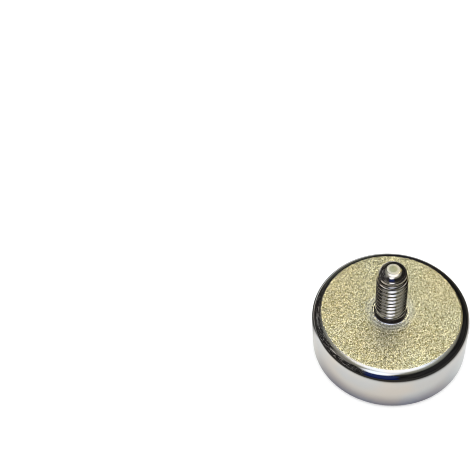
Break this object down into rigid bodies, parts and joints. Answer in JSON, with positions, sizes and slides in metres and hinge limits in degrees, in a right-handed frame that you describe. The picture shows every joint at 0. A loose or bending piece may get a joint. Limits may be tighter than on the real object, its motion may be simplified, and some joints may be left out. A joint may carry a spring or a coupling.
{
  "type": "pot magnet with threaded stud",
  "caption": "Round shallow pot magnet: a nickel plated steel cup around a disc magnet, with a threaded stud standing up from the middle of its back.",
  "frame": {"origin": "centre of the magnetic face, in the plane of the cup's rim", "axes": "+Z along the stud, away from the magnetic face"},
  "size_m": [0.02, 0.02, 0.0156],
  "materials": {
    "plated_cup": "nickel plated, blasted flat back with a polished edge and wall",
    "plated_stud": "bright nickel plated thread",
    "plated_magnet": "satin nickel plated",
    "potting_resin": "dark cast resin, smooth"
  },
  "bodies": {
    "root": {"pot": "plated_cup", "stud": "plated_stud", "magnet": "plated_magnet", "resin_ring": "potting_resin"}
  },
  "joints": []
}
